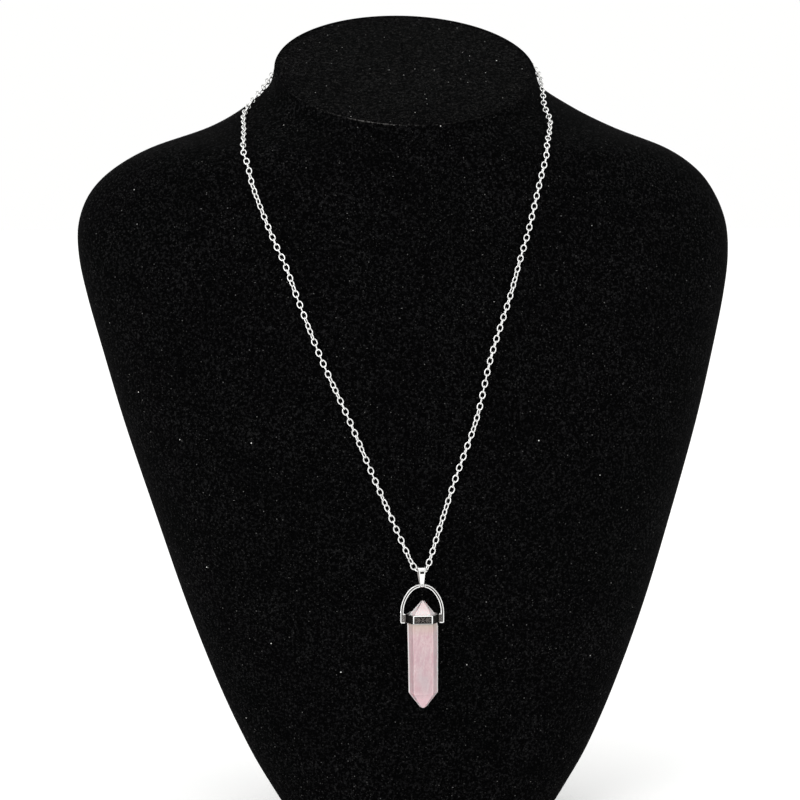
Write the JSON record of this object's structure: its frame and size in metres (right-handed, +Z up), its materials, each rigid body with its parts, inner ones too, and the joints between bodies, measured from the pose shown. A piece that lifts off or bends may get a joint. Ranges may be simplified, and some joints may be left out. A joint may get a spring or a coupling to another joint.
{
  "type": "crystal point pendant necklace on a display bust",
  "caption": "Double-ended hexagonal crystal in a framed metal collar, swinging in a stirrup and bail on a fine chain around a velvet neck bust.",
  "frame": {"origin": "middle of the bust's underside, where it stands", "axes": "+Z up, -Y towards the front of the bust, +X to the viewer's right"},
  "size_m": [0.2053, 0.0925, 0.2524],
  "materials": {
    "velvet": "matte",
    "silver": "polished",
    "rose_quartz": "polished"
  },
  "bodies": {
    "root": {"bust": "velvet", "chain": "silver", "clasp": "silver"},
    "bail": {"bail": "silver"},
    "stirrup": {"stirrup": "silver"},
    "point": {"collar": "silver", "crystal": "rose_quartz"}
  },
  "joints": [
    {"name": "bail_swing", "type": "hinge", "parent": "root", "child": "bail", "pos_m": [-0.003, -0.04057, 0.08328], "axis": [-1, 0, 0], "range_deg": [0, 40]},
    {"name": "stirrup_swing", "type": "hinge", "parent": "bail", "child": "stirrup", "pos_m": [-0.003, -0.04057, 0.07934], "axis": [-1, 0, 0], "range_deg": [0, 20]},
    {"name": "crystal_swing", "type": "hinge", "parent": "stirrup", "child": "point", "pos_m": [-0.003, -0.04057, 0.06943], "axis": [-1, 0, 0], "range_deg": [0, 140]}
  ]
}
